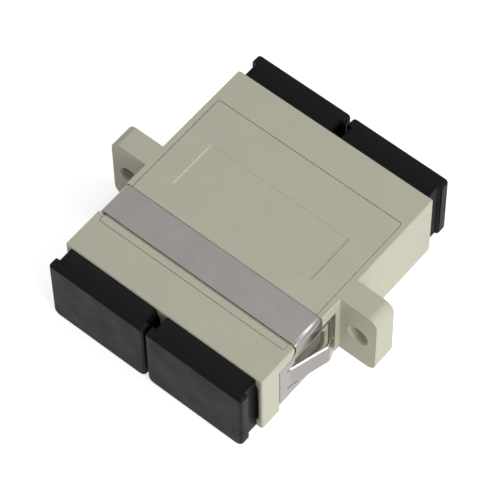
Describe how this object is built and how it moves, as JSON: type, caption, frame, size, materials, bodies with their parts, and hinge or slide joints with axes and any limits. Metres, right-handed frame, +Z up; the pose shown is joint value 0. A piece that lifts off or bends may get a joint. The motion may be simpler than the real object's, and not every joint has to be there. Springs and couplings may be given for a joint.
{
  "type": "sc duplex fibre adapter",
  "caption": "Flat beige panel adapter that joins push-pull fibre plugs end to end, with screw ears, a sprung steel panel clip and black dust caps in every port.",
  "frame": {"origin": "centre of the bottom face, in the middle plane of the flange", "axes": "+X across the two channels, +Y along the fibres towards the rear ports, +Z up"},
  "size_m": [0.0348, 0.0334, 0.0094],
  "materials": {
    "housing_plastic": "fine matt",
    "clip_steel": "rolled sheet",
    "holder_plastic": "natural",
    "sleeve_bronze": "drawn",
    "cap_plastic": "soft matt"
  },
  "bodies": {
    "adapter": {"housing_body": "housing_plastic", "housing_cover": "housing_plastic", "panel_clip": "clip_steel", "latch_holder_left_front": "holder_plastic", "latch_holder_left_rear": "holder_plastic", "latch_holder_right_front": "holder_plastic", "latch_holder_right_rear": "holder_plastic", "sleeve_left": "sleeve_bronze", "sleeve_right": "sleeve_bronze"},
    "cap_front_left": {"dust_cap_front_left": "cap_plastic"},
    "cap_front_right": {"dust_cap_front_right": "cap_plastic"},
    "cap_rear_left": {"dust_cap_rear_left": "cap_plastic"},
    "cap_rear_right": {"dust_cap_rear_right": "cap_plastic"}
  },
  "joints": [
    {"name": "cap_front_left_pull", "type": "slide", "parent": "adapter", "child": "cap_front_left", "axis": [0, -1, 0], "range_m": [0, 0.012]},
    {"name": "cap_front_right_pull", "type": "slide", "parent": "adapter", "child": "cap_front_right", "axis": [0, -1, 0], "range_m": [0, 0.012]},
    {"name": "cap_rear_left_pull", "type": "slide", "parent": "adapter", "child": "cap_rear_left", "axis": [0, 1, 0], "range_m": [0, 0.012]},
    {"name": "cap_rear_right_pull", "type": "slide", "parent": "adapter", "child": "cap_rear_right", "axis": [0, 1, 0], "range_m": [0, 0.012]}
  ]
}
